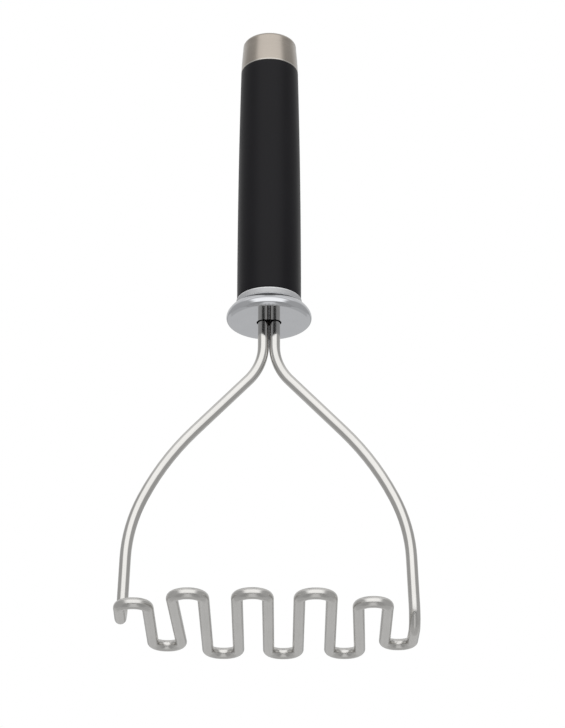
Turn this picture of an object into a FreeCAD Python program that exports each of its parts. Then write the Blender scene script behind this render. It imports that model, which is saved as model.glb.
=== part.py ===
import FreeCAD, Part
import math
import os

# Wire potato masher. It stands on its head: +Z runs up the handle, the zigzag head lies in a
# plane square to it, and the origin is on the handle's axis at the level of the head's underside.
# All sizes are in millimetres.

# The wire: one bent rod, the same when turned half a turn about the handle's axis.
wire_diameter = 4.4
# Each bend of the head, from the middle run outwards: where its inner run and its outer run meet
# it, as distances from the handle's axis, and how far it reaches, to +Y and -Y in turn.
head_bends = (
    (0.0, 11.4, 34.4),
    (11.7, 23.6, 34.1),
    (23.8, 35.6, 34.2),
    (33.5, 44.6, 25.0),
    (44.8, 55.4, 23.5),
)
# The straight part left in the middle of each bend, between its two rounded corners.
bend_flat = 0.6
# Each leg's corners: half width and height, with the radius that rounds each one.
leg_foot = (55.8, wire_diameter / 2)
leg_foot_radius = 8.0
leg_knee = (54.5, 42.0)
leg_knee_radius = 63.0
leg_shoulder = (41.2, 69.8)
leg_shoulder_radius = 108.0
neck_height = 110.4
neck_radius = 21.2
shank_offset = 2.25
shank_top = 198.0

# The handle's outer sizes, from the guard disc up.
disc_radius = 17.1
disc_bottom = 129.6
disc_bottom_rounding = 1.8
# The disc's edge stands straight up to here, curves in at the shoulder by one angle from upright,
# and runs on in the wider curve of the crown, to the second angle, where the ring sits.
disc_edge_top = 131.5
shoulder_curve = 3.6
shoulder_angle = 32.0
crown_curve = 10.0
crown_angle = 58.0
ring_radius = 13.2
ring_top = 139.5
ring_top_rounding = 0.9
ring_bottom_rounding = 0.2
grip_bottom_radius = 12.85
grip_middle_radius = 12.72
grip_top_radius = 11.9
grip_length = 106.6
grip_bottom_rounding = 0.35
grip_top_rounding = 0.4
cap_bottom_radius = 11.9
cap_middle_radius = 11.57
cap_shoulder_radius = 11.05
cap_shoulder_rounding = 1.5
cap_lip_rounding = 0.3
cap_height = 13.9
cap_wall = 0.8

# Inside the handle.
fit_gap = 0.05
socket_gap = 0.1
slot_width = 10.0
slot_depth = 5.8
slot_gap = 0.1
boss_radius = 9.9
boss_height = 1.4
ring_bore_radius = 10.0
core_radius = 8.5
grip_bore_radius = 8.55
core_top_drop = 0.2
seal_recess = 1.2
seal_height = 2.2
ferrule_bottom = 182.0
ferrule_height = 12.0
ferrule_wall = 1.0
spigot_radius = 9.9
spigot_height = 4.0
plug_stem_radius = 3.2
plug_stem_length = 24.0


def on_arc(centre, radius, angle):
    """The (radius, height) pair on a turned outline's arc, at an angle in degrees from level."""
    turn = math.radians(angle)
    return (centre[0] + radius * math.cos(turn), centre[1] + radius * math.sin(turn))


# Levels and points worked out from the sizes above.
wire_radius = wire_diameter / 2
shoulder_end = on_arc((disc_radius - shoulder_curve, disc_edge_top), shoulder_curve, shoulder_angle)
crown_centre = on_arc(shoulder_end, -crown_curve, shoulder_angle)
crown_end = on_arc(crown_centre, crown_curve, crown_angle)
disc_top = crown_end[1]
boss_top = disc_top + boss_height
grip_bottom = ring_top
grip_top = grip_bottom + grip_length
cap_top = grip_top + cap_height
spigot_top = grip_top + spigot_height
core_top = grip_top - core_top_drop
seal_bottom = disc_bottom + seal_recess
seal_top = seal_bottom + seal_height
socket_radius = wire_radius + socket_gap


def point(x, y, z):
    return FreeCAD.Vector(x, y, z)


def rounded_path(corners, radii):
    """A wire of straight runs through the corners, with a tangent arc at each inner corner."""
    edges = []
    start = corners[0]
    for before, corner, after, radius in zip(corners, corners[1:], corners[2:], radii):
        back = (before - corner).normalize()
        ahead = (after - corner).normalize()
        half_angle = back.getAngle(ahead) / 2
        tangent_length = radius / math.tan(half_angle)
        arc_start = corner + back * tangent_length
        arc_end = corner + ahead * tangent_length
        inward = (back + ahead).normalize()
        arc_middle = corner + inward * (radius / math.sin(half_angle) - radius)
        edges.append(Part.LineSegment(start, arc_start).toShape())
        edges.append(Part.Arc(arc_start, arc_middle, arc_end).toShape())
        start = arc_end
    edges.append(Part.LineSegment(start, corners[-1]).toShape())
    return Part.Wire(edges)


def turned(edges):
    """A solid of revolution about the Z axis, from the closed outline in the XZ plane."""
    return Part.Face(Part.Wire(edges)).revolve(point(0, 0, 0), point(0, 0, 1), 360)


def line(start, end):
    """One straight edge of a turned outline, between two (radius, height) pairs."""
    return Part.LineSegment(point(start[0], 0, start[1]), point(end[0], 0, end[1])).toShape()


def arc(start, middle, end):
    """One arc of a turned outline, through three (radius, height) pairs."""
    ends = [point(radius, 0, height) for radius, height in (start, middle, end)]
    return Part.Arc(*ends).toShape()


def rounding(start, corner, end):
    """The quarter circle that rounds a turned outline's square corner."""
    share = 1 - math.sqrt(0.5)
    middle = [here + share * (before + after - 2 * here)
              for before, here, after in zip(start, corner, end)]
    return arc(start, middle, end)


def cylinder(radius, bottom, top, x=0.0):
    return Part.makeCylinder(radius, top - bottom, point(x, 0, bottom))


def obround(width, depth, bottom, top):
    """A prism with straight front and back faces and round ends, its width along X."""
    end_radius = depth / 2
    end_x = width / 2 - end_radius
    height = top - bottom
    middle = Part.makeBox(2 * end_x, depth, height, point(-end_x, -end_radius, bottom))
    ends = [cylinder(end_radius, bottom, top, side * end_x) for side in (-1, 1)]
    return middle.fuse(ends).removeSplitter()


def shank_sockets(bottom, top):
    """The pair of round holes that the wire's two shanks fit. They run into each other."""
    left, right = [cylinder(socket_radius, bottom, top, side * shank_offset) for side in (-1, 1)]
    return left.fuse(right)


def edges_at(shape, radius, height):
    """The round edges of a turned shape that have the given radius and height."""
    found = []
    for edge in shape.Edges:
        curve = edge.Curve
        if isinstance(curve, Part.Circle) and abs(curve.Radius - radius) < 0.01:
            if abs(curve.Center.z - height) < 0.01:
                found.append(edge)
    return found


def masher_wire():
    """The head, two legs and two shanks: a single rod, built from the middle run outwards."""
    half = []
    half_radii = []
    side = 1
    for inner, outer, reach in head_bends:
        half.append(point(inner, side * reach, wire_radius))
        half.append(point(outer, side * reach, wire_radius))
        half_radii += [(outer - inner - bend_flat) / 2] * 2
        side = -side
    leg = (leg_foot, leg_knee, leg_shoulder, (shank_offset, neck_height), (shank_offset, shank_top))
    half += [point(half_width, 0, height) for half_width, height in leg]
    half_radii += [leg_foot_radius, leg_knee_radius, leg_shoulder_radius, neck_radius]
    other_half = [point(-corner.x, -corner.y, corner.z) for corner in reversed(half)]
    path = rounded_path(other_half + half, half_radii[::-1] + half_radii)
    section = Part.makeCircle(wire_radius, other_half[0], point(0, 0, 1))
    rod = path.makePipe(Part.Face(Part.Wire([section])))
    expected = math.pi * wire_radius ** 2 * path.Length
    print("wire length %.1f mm, volume over section x length %.5f" % (path.Length, rod.Volume / expected))
    return rod


def guard_disc():
    """The thumb guard: flat below, with a full edge, a crowned top, a boss and the shanks' slot."""
    flat_end = (disc_radius - disc_bottom_rounding, disc_bottom)
    edge_bottom = (disc_radius, disc_bottom + disc_bottom_rounding)
    edge_top = (disc_radius, disc_edge_top)
    shoulder_middle = on_arc((disc_radius - shoulder_curve, disc_edge_top), shoulder_curve,
                             shoulder_angle / 2)
    crown_middle = on_arc(crown_centre, crown_curve, (shoulder_angle + crown_angle) / 2)
    outline = [
        line((0, disc_bottom), flat_end),
        rounding(flat_end, (disc_radius, disc_bottom), edge_bottom),
        line(edge_bottom, edge_top),
        arc(edge_top, shoulder_middle, shoulder_end),
        arc(shoulder_end, crown_middle, crown_end),
        line(crown_end, (boss_radius, disc_top)),
        line((boss_radius, disc_top), (boss_radius, boss_top)),
        line((boss_radius, boss_top), (0, boss_top)),
        line((0, boss_top), (0, disc_bottom)),
    ]
    return turned(outline).cut(obround(slot_width, slot_depth, disc_bottom - 1, boss_top + 1))


def collar_ring():
    """The plated ring between the guard disc and the grip."""
    ring = cylinder(ring_radius, disc_top, grip_bottom)
    ring = ring.makeFillet(ring_top_rounding, edges_at(ring, ring_radius, grip_bottom))
    ring = ring.makeFillet(ring_bottom_rounding, edges_at(ring, ring_radius, disc_top))
    return ring.cut(cylinder(ring_bore_radius, disc_top - 1, grip_bottom + 1))


def neck_seal():
    """The soft insert in the guard disc's slot, around the two shanks."""
    block = obround(slot_width - 2 * slot_gap, slot_depth - 2 * slot_gap, seal_bottom, seal_top)
    return block.cut(shank_sockets(seal_bottom - 1, seal_top + 1))


def ferrule_blank(wall, bottom, top):
    """An obround block around both shanks, with the given wall outside their sockets."""
    width = 2 * (shank_offset + socket_radius + wall)
    return obround(width, 2 * (socket_radius + wall), bottom, top)


def shank_ferrule():
    """The crimped sleeve that ties the two shanks together inside the core."""
    top = ferrule_bottom + ferrule_height
    blank = ferrule_blank(ferrule_wall, ferrule_bottom, top)
    return blank.cut(ferrule_blank(0, ferrule_bottom - 1, top + 1))


def handle_core():
    """The moulded core: a nose in the slot, a flange in the ring and a shaft in the grip."""
    nose = obround(slot_width - 2 * slot_gap, slot_depth - 2 * slot_gap, seal_top, boss_top)
    flange = cylinder(boss_radius, boss_top, grip_bottom)
    shaft = cylinder(core_radius, grip_bottom, core_top)
    pocket_top = ferrule_bottom + ferrule_height + fit_gap
    pocket = ferrule_blank(ferrule_wall + fit_gap, ferrule_bottom, pocket_top)
    stem_socket = cylinder(plug_stem_radius + fit_gap, spigot_top - plug_stem_length, core_top + 1)
    body = nose.fuse([flange, shaft]).removeSplitter()
    return body.cut([shank_sockets(seal_top - 1, shank_top), pocket, stem_socket])


def grip_sleeve():
    """The round black grip, widest at the ring and drawn in to the cap, with a spigot on top."""
    bottom_corner = (grip_bottom_radius, grip_bottom)
    bottom_start = (grip_bottom_radius - grip_bottom_rounding, grip_bottom)
    side_bottom = (grip_bottom_radius, grip_bottom + grip_bottom_rounding)
    side_middle = (grip_middle_radius, grip_bottom + grip_length / 2)
    side_top = (grip_top_radius, grip_top - grip_top_rounding)
    top_corner = (grip_top_radius, grip_top)
    top_end = (grip_top_radius - grip_top_rounding, grip_top)
    outline = [
        line((grip_bore_radius, grip_bottom), bottom_start),
        rounding(bottom_start, bottom_corner, side_bottom),
        arc(side_bottom, side_middle, side_top),
        rounding(side_top, top_corner, top_end),
        line(top_end, (spigot_radius, grip_top)),
        line((spigot_radius, grip_top), (spigot_radius, spigot_top)),
        line((spigot_radius, spigot_top), (grip_bore_radius, spigot_top)),
        line((grip_bore_radius, spigot_top), (grip_bore_radius, grip_bottom)),
    ]
    return turned(outline)


def end_cap():
    """The pressed steel cup that closes the handle's top end."""
    inner_bottom = (cap_bottom_radius - cap_wall, grip_top)
    lip_start = (cap_bottom_radius - cap_lip_rounding, grip_top)
    lip_corner = (cap_bottom_radius, grip_top)
    side_bottom = (cap_bottom_radius, grip_top + cap_lip_rounding)
    side_top = (cap_shoulder_radius, cap_top - cap_shoulder_rounding)
    side_middle = (cap_middle_radius, (grip_top + side_top[1]) / 2)
    shoulder_corner = (cap_shoulder_radius, cap_top)
    shoulder_end = (cap_shoulder_radius - cap_shoulder_rounding, cap_top)
    inner_top = (cap_shoulder_radius - cap_wall, cap_top - cap_wall)
    outline = [
        line(inner_bottom, lip_start),
        rounding(lip_start, lip_corner, side_bottom),
        arc(side_bottom, side_middle, side_top),
        rounding(side_top, shoulder_corner, shoulder_end),
        line(shoulder_end, (0, cap_top)),
        line((0, cap_top), (0, cap_top - cap_wall)),
        line((0, cap_top - cap_wall), inner_top),
        line(inner_top, inner_bottom),
    ]
    return turned(outline)


def cap_plug():
    """The insert bonded into the cap, over the grip's spigot, with a stem pressed in the core."""
    taper = (cap_bottom_radius - cap_shoulder_radius) / (cap_height - cap_wall)
    wall_bottom = cap_bottom_radius - cap_wall - fit_gap
    skirt = grip_top + core_top_drop
    roof = cap_top - cap_wall
    skirt_radius = wall_bottom - taper * (skirt - grip_top)
    roof_radius = wall_bottom - taper * (roof - grip_top)
    stem_bottom = spigot_top - plug_stem_length
    outline = [
        line((0, stem_bottom), (plug_stem_radius, stem_bottom)),
        line((plug_stem_radius, stem_bottom), (plug_stem_radius, spigot_top)),
        line((plug_stem_radius, spigot_top), (spigot_radius + fit_gap, spigot_top)),
        line((spigot_radius + fit_gap, spigot_top), (spigot_radius + fit_gap, skirt)),
        line((spigot_radius + fit_gap, skirt), (skirt_radius, skirt)),
        line((skirt_radius, skirt), (roof_radius, roof)),
        line((roof_radius, roof), (0, roof)),
        line((0, roof), (0, stem_bottom)),
    ]
    return turned(outline)


def main():
    pieces = (masher_wire, guard_disc, collar_ring, neck_seal, shank_ferrule, handle_core,
              grip_sleeve, end_cap, cap_plug)
    os.makedirs("parts", exist_ok=True)
    for piece in pieces:
        shape = piece()
        if not shape.isValid() or len(shape.Solids) != 1:
            raise ValueError("%s is not one valid solid" % piece.__name__)
        shape.Solids[0].exportStep("parts/%s.step" % piece.__name__)
        print("%-14s %9.1f mm3" % (piece.__name__, shape.Volume))


main()
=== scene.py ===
import math

import bpy
from mathutils import Matrix, Vector


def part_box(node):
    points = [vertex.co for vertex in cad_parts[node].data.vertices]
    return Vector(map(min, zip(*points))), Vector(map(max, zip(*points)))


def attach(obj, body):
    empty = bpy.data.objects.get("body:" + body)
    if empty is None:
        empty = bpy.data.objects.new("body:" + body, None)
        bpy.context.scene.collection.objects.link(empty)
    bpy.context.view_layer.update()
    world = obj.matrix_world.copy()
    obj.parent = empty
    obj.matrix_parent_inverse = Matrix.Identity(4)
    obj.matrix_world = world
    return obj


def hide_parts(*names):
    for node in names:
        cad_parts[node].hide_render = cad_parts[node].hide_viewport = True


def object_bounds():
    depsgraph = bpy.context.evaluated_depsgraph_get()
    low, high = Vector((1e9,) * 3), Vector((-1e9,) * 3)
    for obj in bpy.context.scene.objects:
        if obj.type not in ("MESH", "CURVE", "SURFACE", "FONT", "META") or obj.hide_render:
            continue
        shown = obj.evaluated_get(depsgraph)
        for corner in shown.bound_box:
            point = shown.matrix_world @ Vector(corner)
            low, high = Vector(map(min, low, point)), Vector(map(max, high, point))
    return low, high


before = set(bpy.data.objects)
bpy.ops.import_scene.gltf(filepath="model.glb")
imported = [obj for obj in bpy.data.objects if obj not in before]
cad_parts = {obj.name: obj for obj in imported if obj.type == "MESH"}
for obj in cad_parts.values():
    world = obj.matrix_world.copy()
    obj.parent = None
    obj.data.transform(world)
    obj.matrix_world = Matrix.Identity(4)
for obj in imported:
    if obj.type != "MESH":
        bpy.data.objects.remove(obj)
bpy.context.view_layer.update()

# A wire potato masher, held up in a white studio and seen from a little below its head.
# Lengths are in metres, and sizes named in millimetres are multiplied by MM.
MM = 0.001
BODY = "root"

# The wire's route, as the frame has it, in millimetres. Each bend of the head is its inner run, its
# outer run and its reach, with a short straight part left in the middle. Each corner of a leg is its
# half width and height.
HEAD_BENDS = (
    (0.0, 11.4, 34.4),
    (11.7, 23.6, 34.1),
    (23.8, 35.6, 34.2),
    (33.5, 44.6, 25.0),
    (44.8, 55.4, 23.5),
)
BEND_FLAT = 0.6
WIRE_RADIUS = 2.2
LEG_CORNERS = ((55.8, 2.2), (54.5, 42.0), (41.2, 69.8), (2.25, 110.4))
LEG_RADII = (8.0, 63.0, 108.0, 21.2)
WIRE_SIDES = 48
WIRE_STEP = math.radians(3.0)

# The turned pieces: roundings and inner sizes, in millimetres. A crowned side is drawn in short
# pieces, with a wide radius where two of them meet.
TURNED_SIDES = 256
PROFILE_STEP = math.radians(9.0)
RING_BORE = 10.0
RING_BORE_ROUNDING = 0.1
RING_TOP_ROUNDING = 0.9
RING_BOTTOM_ROUNDING = 0.2
GRIP_MIDDLE_RADIUS = 12.72
GRIP_TOP_RADIUS = 11.9
GRIP_SIDE_PIECES = 24
GRIP_SIDE_BLEND = 8.0
GRIP_BORE = 8.55
GRIP_BORE_ROUNDING = 0.2
GRIP_SPIGOT = 9.9
GRIP_SPIGOT_ROUNDINGS = (0.1, 0.3, 0.3)
GRIP_TOP_ROUNDING = 0.4
GRIP_BOTTOM_ROUNDING = 0.35
CAP_MIDDLE_RADIUS = 11.57
CAP_SHOULDER_RADIUS = 11.05
CAP_SHOULDER_ROUNDING = 1.5
CAP_SIDE_PIECES = 8
CAP_SIDE_BLEND = 4.0
CAP_LIP_ROUNDING = 0.3
CAP_INSIDE_ROUNDINGS = (0.5, 0.1)
CAP_WALL = 0.8

# Where a finish or a painted mark changes, in metres: the groove's pairs bound painted shade between
# the shanks, the cap's pair bounds a painted highlight along its lip, and the ring's blend starts its
# painted highlight and its polish. A pair is where the change starts and where it ends: out from the
# plane X = 0 for the groove's side, up from the seam for the cap's lip, and in height for the other
# two. The ring's is how far its change goes on above the start of its top rounding.
GROOVE_SIDE = (0.0004, 0.0009)
GROOVE_FOOT = (0.115, 0.122)
HEAD_DULLED_TO = (0.006, 0.022)
RING_EDGE_BLEND = 0.0003
CAP_PAINTED_HIGHLIGHT = (0.0004, 0.0007)

# The studio is a dome round the masher, the same on its left and right. A patch of it has limits
# across, as the angle out from the plane X = 0, and limits of pitch, which is 0 at the front, 90
# overhead, 180 behind and -90 underneath. Then come the softness of its edges, all in degrees, and
# how brightly it shines. A later patch lies over the ones before it. A limit of 99 across or of 999
# in pitch is no limit.
DOME_RADIUS = 1.7
DOME_COLUMNS = 240
DOME_ROWS = 120
DOME_GAIN = 1.26
DOME_PATCHES = (
    ("side_walls", (-99, 99), (-999, 999), 1, 0.36),
    ("back_low", (-99, 52), (-145, -95), 10, 0.41),
    ("back_middle", (-99, 52), (-999, -145), 8, 0.49),
    ("back_horizon", (-99, 60), (-999, -177), 4, 0.34),
    ("back_top", (-99, 60), (169, 999), 4, 0.34),
    ("back_high", (-99, 44), (98, 169), 10, 0.54),
    ("ceiling", (-99, 42), (72, 98), 16, 0.68),
    ("low_corners", (10, 48), (-95, -26), 12, 0.31),
    ("front_floor", (-99, 12), (-95, -31), 12, 0.61),
    ("front_window", (-99, 40), (-19, 62), 18, 0.99),
    ("window_sill", (-99, 40), (-29.5, -22.5), 2, 0.02),
)

# The floor is a round sheet far below the masher. The lamp is in front of the masher and above it.
# Their sizes are in metres, and the lamp's energy is in watts.
FLOOR_DROP = 1.6
FLOOR_RADIUS = 9.0
FLOOR_CORNERS = 90
LAMP_SIZE = (1.5, 0.8)
LAMP_ENERGY = 0.3
LAMP_COLOUR = (1.0, 0.985, 0.96)
LAMP_OFFSET = (0, -1.1, 0.45)

# The camera stands in front of the masher, below its head, and looks up. Its lens and its sensor
# are in millimetres.
CAMERA_PLACE = (0.0054, -0.900, -0.3132)
CAMERA_TILT = math.radians(25.25)
CAMERA_LENS = 123.8
CAMERA_SENSOR = 36.0


# ---------------------------------------------------------------- outlines and meshes

def rounded(corners, radii, step):
    """Points along straight runs from corner to corner, with an arc of its radius at each one
    between the ends."""
    points = [corners[0]]
    for before, corner, after, radius in zip(corners, corners[1:], corners[2:], radii):
        back = (before - corner).normalized()
        ahead = (after - corner).normalized()
        half_angle = back.angle(ahead) / 2
        centre = corner + (back + ahead).normalized() * (radius / math.sin(half_angle))
        start = corner + back * (radius / math.tan(half_angle)) - centre
        turn = math.pi - 2 * half_angle
        axis = back.cross(ahead).normalized()
        pieces = max(2, math.ceil(turn / step))
        for piece in range(pieces + 1):
            points.append(centre + Matrix.Rotation(-turn * piece / pieces, 3, axis) @ start)
    return points + [corners[-1]]


def barrel(bottom, middle, top, pieces):
    """The points between the ends of a shallow crowned side, which runs through three (radius,
    height) pairs."""
    points = []
    for piece in range(1, pieces):
        height = bottom[1] + (top[1] - bottom[1]) * piece / pieces
        radius = 0.0
        for here, others in ((bottom, (middle, top)), (middle, (bottom, top)), (top, (bottom, middle))):
            share = here[0]
            for other in others:
                share *= (height - other[1]) / (here[1] - other[1])
            radius += share
        points.append((radius, height))
    return points


def outline(corners, radii):
    """A turned piece's outline from (radius, height) pairs in millimetres, with rounded corners."""
    flat = [Vector((radius * MM, 0, height * MM)) for radius, height in corners]
    return rounded(flat, [radius * MM for radius in radii], PROFILE_STEP)


def new_object(name, vertices, faces):
    mesh = bpy.data.meshes.new(name)
    mesh.from_pydata(vertices, [], faces)
    mesh.validate()
    obj = bpy.data.objects.new(name, mesh)
    bpy.context.scene.collection.objects.link(obj)
    return obj


def smooth(obj, sharp_above=math.radians(28)):
    """Smooth shading, but with hard edges wherever two faces meet at more than the angle."""
    obj.data.polygons.foreach_set("use_smooth", [True] * len(obj.data.polygons))
    obj.data.set_sharp_from_angle(angle=sharp_above)


def turned(name, points, closed):
    """A piece turned about the Z axis. A closed outline is a ring; an open one ends on the axis."""
    vertices = []
    faces = []
    rows = []
    for place in points:
        if place.x < 1e-7:
            rows.append([len(vertices)])
            vertices.append((0, 0, place.z))
            continue
        rows.append(list(range(len(vertices), len(vertices) + TURNED_SIDES)))
        for side in range(TURNED_SIDES):
            angle = 2 * math.pi * side / TURNED_SIDES
            vertices.append((place.x * math.cos(angle), place.x * math.sin(angle), place.z))
    pairs = list(zip(rows, rows[1:] + rows[:1])) if closed else list(zip(rows, rows[1:]))
    for low, high in pairs:
        for side in range(TURNED_SIDES):
            following = (side + 1) % TURNED_SIDES
            if len(low) == 1:
                faces.append((low[0], high[following], high[side]))
            elif len(high) == 1:
                faces.append((low[side], low[following], high[0]))
            else:
                faces.append((low[side], low[following], high[following], high[side]))
    obj = new_object(name, vertices, faces)
    smooth(obj)
    return obj


def rod(name, route, radius, sides):
    """A round rod along a route. Its UV map is in metres: round the rod, then along it."""
    tangents = []
    for index in range(len(route)):
        before = route[max(index - 1, 0)]
        after = route[min(index + 1, len(route) - 1)]
        tangents.append((after - before).normalized())
    across = tangents[0].orthogonal().normalized()
    vertices = []
    lengths = [0.0]
    for index, (place, tangent) in enumerate(zip(route, tangents)):
        if index:
            across = tangents[index - 1].rotation_difference(tangent) @ across
            across = (across - tangent * across.dot(tangent)).normalized()
            lengths.append(lengths[-1] + (place - route[index - 1]).length)
        other = tangent.cross(across)
        for side in range(sides):
            angle = 2 * math.pi * side / sides
            vertices.append(place + (across * math.cos(angle) + other * math.sin(angle)) * radius)
    faces = []
    coordinates = []
    girth = 2 * math.pi * radius
    for ring in range(len(route) - 1):
        for side in range(sides):
            following = (side + 1) % sides
            low, high = ring * sides, (ring + 1) * sides
            faces.append((low + side, low + following, high + following, high + side))
            left, right = girth * side / sides, girth * (side + 1) / sides
            coordinates += [(left, lengths[ring]), (right, lengths[ring]),
                            (right, lengths[ring + 1]), (left, lengths[ring + 1])]
    last = (len(route) - 1) * sides
    faces.append(tuple(reversed(range(sides))))
    faces.append(tuple(range(last, last + sides)))
    coordinates += [(0.0, 0.0)] * (2 * sides)
    obj = new_object(name, vertices, faces)
    layer = obj.data.uv_layers.new(name="along_rod")
    for loop, coordinate in zip(layer.data, coordinates):
        loop.uv = coordinate
    smooth(obj)
    return obj


# ---------------------------------------------------------------- materials

class Shader:
    """A Principled material and the short calls that wire its texture nodes up."""

    def __init__(self, name, **constants):
        self.material = bpy.data.materials.new(name)
        self.material.use_nodes = True
        self.tree = self.material.node_tree
        self.surface = self.tree.nodes["Principled BSDF"]
        for socket, value in constants.items():
            self.surface.inputs[socket.replace("_", " ")].default_value = value

    def node(self, kind, inputs=(), **settings):
        made = self.tree.nodes.new("ShaderNode" + kind)
        for setting, value in settings.items():
            setattr(made, setting, value)
        for socket, value in dict(inputs).items():
            if isinstance(value, bpy.types.NodeSocket):
                self.tree.links.new(value, made.inputs[socket])
            else:
                made.inputs[socket].default_value = value
        return made

    def place(self, stretch=(1, 1, 1), source="Object"):
        """Coordinates in metres, stretched so that a pattern runs long along one direction."""
        coordinates = self.node("TexCoord").outputs[source]
        return self.node("Mapping", {"Vector": coordinates, "Scale": stretch}).outputs["Vector"]

    def noise(self, vector, scale, detail=3.0, roughness=0.5):
        values = {"Vector": vector, "Scale": scale, "Detail": detail, "Roughness": roughness}
        return self.node("TexNoise", values).outputs["Fac"]

    def spread(self, value, low, high, start=0.3, end=0.7):
        """The value, taken from its start..end range to low..high."""
        values = {"Value": value, "From Min": start, "From Max": end, "To Min": low, "To Max": high}
        return self.node("MapRange", values).outputs["Result"]

    def axes(self):
        """The place's X, Y and Z, in metres."""
        parts = self.node("SeparateXYZ", {"Vector": self.node("TexCoord").outputs["Object"]})
        return [parts.outputs[axis] for axis in "XYZ"]

    def mix(self, share, first, second):
        """The first colour where the share is 0, the second where it is 1."""
        made = self.node("Mix", {"Factor": share}, data_type="RGBA")
        sockets = [socket for socket in made.inputs if socket.type == "RGBA"]
        self.tree.links.new(first, sockets[0])
        self.tree.links.new(second, sockets[1])
        return [socket for socket in made.outputs if socket.type == "RGBA"][0]

    def maths(self, operation, first, second):
        return self.node("Math", {0: first, 1: second}, operation=operation).outputs["Value"]

    def shades(self, value, dark, light):
        """A colour between two, by a value from 0 to 1."""
        ramp = self.node("ValToRGB", {"Fac": value})
        ramp.color_ramp.elements[0].color = (*dark, 1)
        ramp.color_ramp.elements[1].color = (*light, 1)
        return ramp.outputs["Color"]

    def use(self, socket, value):
        self.tree.links.new(value, self.surface.inputs[socket])

    def bump(self, height, strength, distance):
        values = {"Height": height, "Strength": strength, "Distance": distance}
        self.use("Normal", self.node("Bump", values).outputs["Normal"])


def wire_steel():
    """Drawn stainless wire: fine lines along the rod, faint handling marks, a head dulled by use and
    painted shade, a dark colour with a rougher finish, in the groove where the two shanks meet."""
    shader = Shader("drawn_stainless", Metallic=1.0)
    lines = shader.noise(shader.place((9000, 60, 1), "UV"), 1.0, 4.0, 0.6)
    marks = shader.noise(shader.place(), 420.0, 4.0, 0.6)
    clouds = shader.noise(shader.place(), 60.0, 2.0)
    x, _, z = shader.axes()
    beside_groove = shader.spread(shader.maths("ABSOLUTE", x, 0.0), 0.0, 1.0, *GROOVE_SIDE)
    below_groove = shader.spread(z, 1.0, 0.0, *GROOVE_FOOT)
    outside_groove_shade = shader.maths("MAXIMUM", beside_groove, below_groove)
    tone = shader.maths("ADD", shader.spread(clouds, 0.0, 0.4), shader.spread(lines, 0.0, 0.6))
    steel = shader.shades(tone, (0.60, 0.59, 0.57), (0.70, 0.69, 0.67))
    # Painted shade: a dark colour in the groove between the two shanks, where shade falls between them.
    groove_painted_shade = shader.shades(marks, (0.15, 0.135, 0.125), (0.19, 0.17, 0.16))
    shader.use("Base Color", shader.mix(outside_groove_shade, groove_painted_shade, steel))
    rough = shader.maths("ADD", shader.spread(lines, 0.08, 0.12), shader.spread(marks, -0.01, 0.015))
    dulled = shader.maths("ADD", shader.spread(z, 0.15, 0.0, *HEAD_DULLED_TO),
                          shader.spread(outside_groove_shade, 0.25, 0.0, 0.0, 1.0))
    shader.use("Roughness", shader.maths("ADD", rough, dulled))
    shader.bump(lines, 0.05, 0.00001)
    return shader.material


def chrome():
    """Bright chrome plate with thin smudges and hairline scratches."""
    shader = Shader("chrome_plate", Metallic=1.0)
    smudges = shader.noise(shader.place(), 160.0, 4.0, 0.6)
    hairs = shader.noise(shader.place((2600, 240, 240)), 1.0, 3.0, 0.7)
    shader.use("Base Color", shader.shades(shader.spread(smudges, 0.0, 1.0),
                                           (0.64, 0.65, 0.672), (0.665, 0.675, 0.697)))
    rough = shader.maths("ADD", shader.spread(smudges, 0.03, 0.075), shader.spread(hairs, 0.0, 0.02))
    shader.use("Roughness", rough)
    shader.bump(hairs, 0.02, 0.00001)
    return shader.material


def turned_coordinates(shader, around, across):
    """Coordinates that run fast across the turning lines and slowly round the Z axis."""
    x, y, z = shader.axes()
    radius = shader.maths("SQRT", shader.maths("ADD", shader.maths("MULTIPLY", x, x),
                                               shader.maths("MULTIPLY", y, y)), 0.0)
    slow = shader.node("CombineXYZ", {"X": shader.maths("MULTIPLY", x, around),
                                      "Y": shader.maths("MULTIPLY", y, around),
                                      "Z": shader.maths("MULTIPLY", z, around)})
    depth = shader.maths("MULTIPLY", shader.maths("ADD", z, radius), across)
    fast = shader.node("CombineXYZ", {"X": depth, "Y": depth, "Z": depth})
    return shader.node("VectorMath", {0: slow.outputs["Vector"], 1: fast.outputs["Vector"]},
                       operation="ADD").outputs["Vector"]


def ring_steel():
    """Plated steel with a satin face and a polished top edge, whose much lighter colour is a painted
    highlight.
    """
    shader = Shader("satin_plate", Metallic=1.0)
    lines = shader.noise(turned_coordinates(shader, 60.0, 4200.0), 1.0, 3.0, 0.6)
    face = shader.shades(shader.spread(lines, 0.0, 1.0), (0.64, 0.645, 0.655), (0.68, 0.685, 0.695))
    # Painted highlight: a much lighter colour on the ring's top rounding.
    painted_highlight = shader.shades(lines, (0.90, 0.905, 0.915), (0.94, 0.945, 0.955))
    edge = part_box("collar_ring")[1].z - RING_TOP_ROUNDING * MM
    height = shader.axes()[2]
    edge_highlight_share = shader.spread(height, 0.0, 1.0, edge, edge + RING_EDGE_BLEND)
    shader.use("Base Color", shader.mix(edge_highlight_share, face, painted_highlight))
    polish = shader.spread(height, 0.0, -0.5, edge, edge + RING_EDGE_BLEND)
    shader.use("Roughness", shader.maths("ADD", shader.spread(lines, 0.68, 0.76), polish))
    shader.bump(lines, 0.05, 0.00002)
    return shader.material


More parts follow.
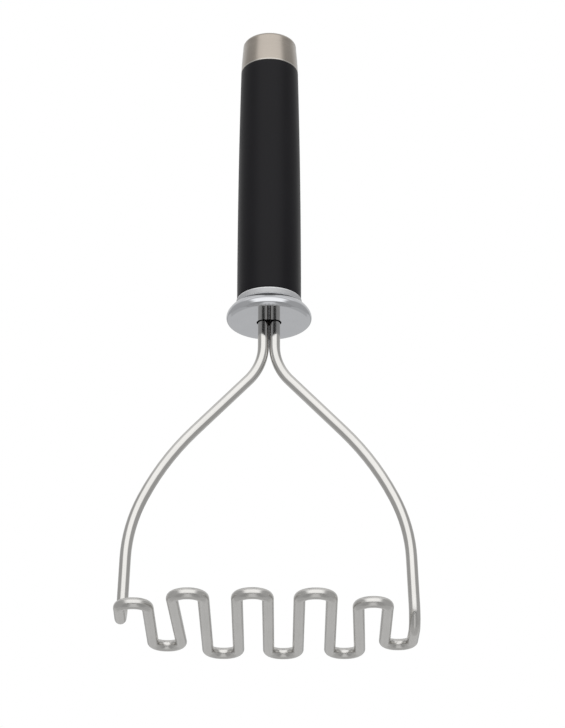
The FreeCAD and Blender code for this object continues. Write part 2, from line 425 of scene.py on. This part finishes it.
def cap_steel():
    """Satin steel, finely brushed round the cap and clear lacquered, with a painted highlight, a
    lighter colour, along its lip.
    """
    shader = Shader("brushed_stainless", Metallic=1.0, Anisotropic=0.3,
                    Coat_Weight=0.7, Coat_Roughness=0.12)
    lines = shader.noise(turned_coordinates(shader, 45.0, 5200.0), 1.0, 4.0, 0.65)
    clouds = shader.noise(shader.place(), 90.0, 3.0)
    face = shader.shades(shader.spread(lines, 0.0, 1.0), (0.405, 0.362, 0.315), (0.425, 0.381, 0.332))
    # Painted highlight: a lighter colour along the cap's lip, just above the seam.
    painted_highlight = shader.shades(lines, (0.58, 0.55, 0.51), (0.62, 0.59, 0.55))
    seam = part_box("end_cap")[0].z
    lip_bottom, lip_top = [seam + height for height in CAP_PAINTED_HIGHLIGHT]
    above_lip_highlight = shader.spread(shader.axes()[2], 0.0, 1.0, lip_bottom, lip_top)
    shader.use("Base Color", shader.mix(above_lip_highlight, painted_highlight, face))
    rough = shader.maths("ADD", shader.spread(lines, 0.21, 0.27), shader.spread(clouds, -0.02, 0.03))
    shader.use("Roughness", rough)
    shader.bump(lines, 0.08, 0.00002)
    return shader.material


def grip_plastic():
    """Satin black plastic with a fine moulded texture, a little polished by hands."""
    shader = Shader("satin_black_plastic", Specular_IOR_Level=0.19)
    grain = shader.noise(shader.place(), 5200.0, 2.0, 0.6)
    swell = shader.noise(shader.place(), 700.0, 3.0)
    wear = shader.noise(shader.place((1, 1, 0.5)), 55.0, 3.0)
    shader.use("Base Color", shader.shades(shader.spread(wear, 0.0, 1.0),
                                           (0.0046, 0.0043, 0.0060), (0.0070, 0.0066, 0.0088)))
    rough = shader.maths("ADD", shader.spread(wear, 0.36, 0.44), shader.spread(grain, -0.03, 0.03))
    shader.use("Roughness", rough)
    shader.bump(shader.maths("ADD", grain, swell), 0.12, 0.00004)
    return shader.material


def rubber():
    """Black silicone, matte and slightly mottled."""
    shader = Shader("black_silicone", Specular_IOR_Level=0.3)
    mottle = shader.noise(shader.place(), 900.0, 3.0)
    shader.use("Base Color", shader.shades(mottle, (0.006, 0.006, 0.006), (0.014, 0.014, 0.014)))
    shader.use("Roughness", shader.spread(mottle, 0.6, 0.8))
    shader.bump(mottle, 0.2, 0.00005)
    return shader.material


def nylon(name, dark, light):
    """Moulded nylon with flow marks."""
    shader = Shader(name)
    flow = shader.noise(shader.place((1, 1, 0.15)), 500.0, 4.0)
    shader.use("Base Color", shader.shades(shader.spread(flow, 0.0, 1.0), dark, light))
    shader.use("Roughness", shader.spread(flow, 0.42, 0.58))
    shader.bump(flow, 0.15, 0.00005)
    return shader.material


def plain_steel():
    """Crimped mild steel with rolling marks along it."""
    shader = Shader("crimped_steel", Metallic=1.0)
    rolled = shader.noise(shader.place((1800, 1800, 90)), 1.0, 4.0)
    shader.use("Base Color", shader.shades(shader.spread(rolled, 0.0, 1.0),
                                           (0.42, 0.42, 0.41), (0.52, 0.52, 0.50)))
    shader.use("Roughness", shader.spread(rolled, 0.28, 0.42))
    shader.bump(rolled, 0.2, 0.00004)
    return shader.material


# ---------------------------------------------------------------- pieces

def finish_piece(obj, node, material):
    """The new piece takes the place of its CAD node, on the masher's one body."""
    obj.data.materials.append(material)
    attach(obj, BODY)
    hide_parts(node)


def make_wire(material):
    """The bent rod: the route outwards from the middle run, and the same turned half round."""
    half = []
    radii = []
    side = 1
    for inner, outer, reach in HEAD_BENDS:
        half += [(inner, side * reach, WIRE_RADIUS), (outer, side * reach, WIRE_RADIUS)]
        radii += [(outer - inner - BEND_FLAT) / 2] * 2
        side = -side
    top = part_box("masher_wire")[1].z / MM
    half += [(across, 0, height) for across, height in LEG_CORNERS]
    half.append((LEG_CORNERS[-1][0], 0, top))
    radii += LEG_RADII
    corners = [Vector((-x, -y, z)) * MM for x, y, z in reversed(half)]
    corners += [Vector(corner) * MM for corner in half]
    route = rounded(corners, [radius * MM for radius in radii[::-1] + radii], WIRE_STEP)
    wire = rod("bent_wire", route, WIRE_RADIUS * MM, WIRE_SIDES)
    finish_piece(wire, "masher_wire", material)


def make_ring(material):
    low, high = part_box("collar_ring")
    radius, bottom, top = high.x / MM, low.z / MM, high.z / MM
    corners = ((RING_BORE, (bottom + top) / 2), (RING_BORE, bottom), (radius, bottom), (radius, top),
               (RING_BORE, top), (RING_BORE, (bottom + top) / 2))
    radii = (RING_BORE_ROUNDING, RING_BOTTOM_ROUNDING, RING_TOP_ROUNDING, RING_BORE_ROUNDING)
    points = outline(corners, radii)
    finish_piece(turned("plated_ring", points[:-1], True), "collar_ring", material)


def make_grip(material):
    low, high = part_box("grip_sleeve")
    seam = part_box("end_cap")[0].z / MM
    radius, bottom, spigot_top = high.x / MM, low.z / MM, high.z / MM
    bore_middle = (GRIP_BORE, (bottom + seam) / 2)
    side = barrel((radius, bottom), (GRIP_MIDDLE_RADIUS, (bottom + seam) / 2), (GRIP_TOP_RADIUS, seam),
                  GRIP_SIDE_PIECES)
    corners = [bore_middle, (GRIP_BORE, bottom), (radius, bottom), *side, (GRIP_TOP_RADIUS, seam),
               (GRIP_SPIGOT, seam), (GRIP_SPIGOT, spigot_top), (GRIP_BORE, spigot_top), bore_middle]
    radii = [GRIP_BORE_ROUNDING, GRIP_BOTTOM_ROUNDING, *[GRIP_SIDE_BLEND] * len(side),
             GRIP_TOP_ROUNDING, *GRIP_SPIGOT_ROUNDINGS]
    points = outline(corners, radii)
    finish_piece(turned("moulded_grip", points[:-1], True), "grip_sleeve", material)


def make_cap(material):
    low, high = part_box("end_cap")
    radius, seam, top = high.x / MM, low.z / MM, high.z / MM
    shoulder = (CAP_SHOULDER_RADIUS, top - CAP_SHOULDER_ROUNDING)
    side = barrel((radius, seam), (CAP_MIDDLE_RADIUS, (seam + shoulder[1]) / 2), shoulder,
                  CAP_SIDE_PIECES)
    corners = [(0, top - CAP_WALL), (CAP_SHOULDER_RADIUS - CAP_WALL, top - CAP_WALL),
               (radius - CAP_WALL, seam), (radius, seam), *side,
               (CAP_SHOULDER_RADIUS, top), (0, top)]
    radii = [*CAP_INSIDE_ROUNDINGS, CAP_LIP_ROUNDING, *[CAP_SIDE_BLEND] * len(side),
             CAP_SHOULDER_ROUNDING]
    finish_piece(turned("steel_cap", outline(corners, radii), False), "end_cap", material)


def paint_node(node, material):
    """A CAD node whose shape is right stays, with a better material."""
    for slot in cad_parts[node].material_slots:
        slot.material = material


# ---------------------------------------------------------------- studio

def inside(value, limits, softness):
    """1 well inside the limits, 0 well outside them, and a smooth step of the given width between."""
    share = 1.0
    for distance in (value - limits[0], limits[1] - value):
        step = min(max(distance / softness + 0.5, 0.0), 1.0)
        share *= step * step * (3 - 2 * step)
    return share


def dome_level(out):
    """How brightly the dome shines in one direction."""
    across = math.degrees(math.asin(min(abs(out.x), 1.0)))
    pitch = math.degrees(math.atan2(out.z, -out.y))
    level = 0.0
    for _, across_limits, pitch_limits, softness, patch_level in DOME_PATCHES:
        share = inside(across, across_limits, softness) * inside(pitch, pitch_limits, softness)
        level += (patch_level - level) * share
    return level * DOME_GAIN


def make_dome(centre):
    """The softly lit dome that the metal reflects. The camera doesn't see it."""
    vertices = []
    levels = []
    for row in range(DOME_ROWS + 1):
        up = math.pi * (row / DOME_ROWS - 0.5)
        for column in range(DOME_COLUMNS):
            turn = 2 * math.pi * column / DOME_COLUMNS
            out = Vector((math.sin(turn) * math.cos(up), -math.cos(turn) * math.cos(up), math.sin(up)))
            vertices.append(centre + out * DOME_RADIUS)
            levels += [dome_level(out)] * 3 + [1.0]
    faces = []
    for row in range(DOME_ROWS):
        for column in range(DOME_COLUMNS):
            following = (column + 1) % DOME_COLUMNS
            low, high = row * DOME_COLUMNS, (row + 1) * DOME_COLUMNS
            faces.append((low + column, low + following, high + following, high + column))
    mesh = bpy.data.meshes.new("studio_dome")
    mesh.from_pydata(vertices, [], faces)
    mesh.attributes.new("level", "FLOAT_COLOR", "POINT").data.foreach_set("color", levels)
    dome = bpy.data.objects.new("studio_dome", mesh)
    bpy.context.scene.collection.objects.link(dome)
    glow = bpy.data.materials.new("dome_light")
    glow.use_nodes = True
    nodes = glow.node_tree.nodes
    nodes.clear()
    attribute = nodes.new("ShaderNodeAttribute")
    attribute.attribute_name = "level"
    emission = nodes.new("ShaderNodeEmission")
    output = nodes.new("ShaderNodeOutputMaterial")
    glow.node_tree.links.new(attribute.outputs["Color"], emission.inputs["Color"])
    glow.node_tree.links.new(emission.outputs["Emission"], output.inputs["Surface"])
    mesh.materials.append(glow)
    dome.visible_camera = False
    dome.visible_shadow = False


def make_studio(centre):
    rim = []
    for corner in range(FLOOR_CORNERS):
        turn = 2 * math.pi * corner / FLOOR_CORNERS
        rim.append((FLOOR_RADIUS * math.cos(turn), FLOOR_RADIUS * math.sin(turn), -FLOOR_DROP))
    floor = new_object("floor", rim, [tuple(range(FLOOR_CORNERS))])
    pale = Shader("pale_floor", Roughness=0.9, Specular_IOR_Level=0.1)
    haze = pale.noise(pale.place(), 1.5, 3.0)
    pale.use("Base Color", pale.shades(haze, (0.80, 0.80, 0.80), (0.83, 0.83, 0.83)))
    floor.data.materials.append(pale.material)

    world = bpy.data.worlds.new("white_studio")
    world.use_nodes = True
    world.node_tree.nodes["Background"].inputs["Color"].default_value = (1, 1, 1, 1)
    world.node_tree.nodes["Background"].inputs["Strength"].default_value = 1.0
    bpy.context.scene.world = world

    make_dome(centre)

    key = bpy.data.lights.new("front_softbox", "AREA")
    key.shape = "RECTANGLE"
    key.size, key.size_y = LAMP_SIZE
    key.energy = LAMP_ENERGY
    key.color = LAMP_COLOUR
    lamp = bpy.data.objects.new("front_softbox", key)
    lamp.location = centre + Vector(LAMP_OFFSET)
    lamp.rotation_euler = (centre - lamp.location).to_track_quat("-Z", "Y").to_euler()
    lamp.visible_camera = False
    bpy.context.scene.collection.objects.link(lamp)


def make_camera():
    data = bpy.data.cameras.new("camera")
    data.lens = CAMERA_LENS
    data.sensor_width = CAMERA_SENSOR
    camera = bpy.data.objects.new("camera", data)
    camera.location = CAMERA_PLACE
    camera.rotation_euler = (math.pi / 2 + CAMERA_TILT, 0, 0)
    bpy.context.scene.collection.objects.link(camera)
    bpy.context.scene.camera = camera


def main():
    bpy.context.scene.view_settings.view_transform = "Standard"
    make_wire(wire_steel())
    make_ring(ring_steel())
    make_grip(grip_plastic())
    make_cap(cap_steel())
    paint_node("guard_disc", chrome())
    paint_node("neck_seal", rubber())
    paint_node("handle_core", nylon("black_nylon", (0.02, 0.02, 0.02), (0.035, 0.035, 0.035)))
    paint_node("cap_plug", nylon("grey_nylon", (0.07, 0.07, 0.07), (0.10, 0.10, 0.10)))
    paint_node("shank_ferrule", plain_steel())
    low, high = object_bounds()
    make_studio((low + high) / 2)
    make_camera()


main()
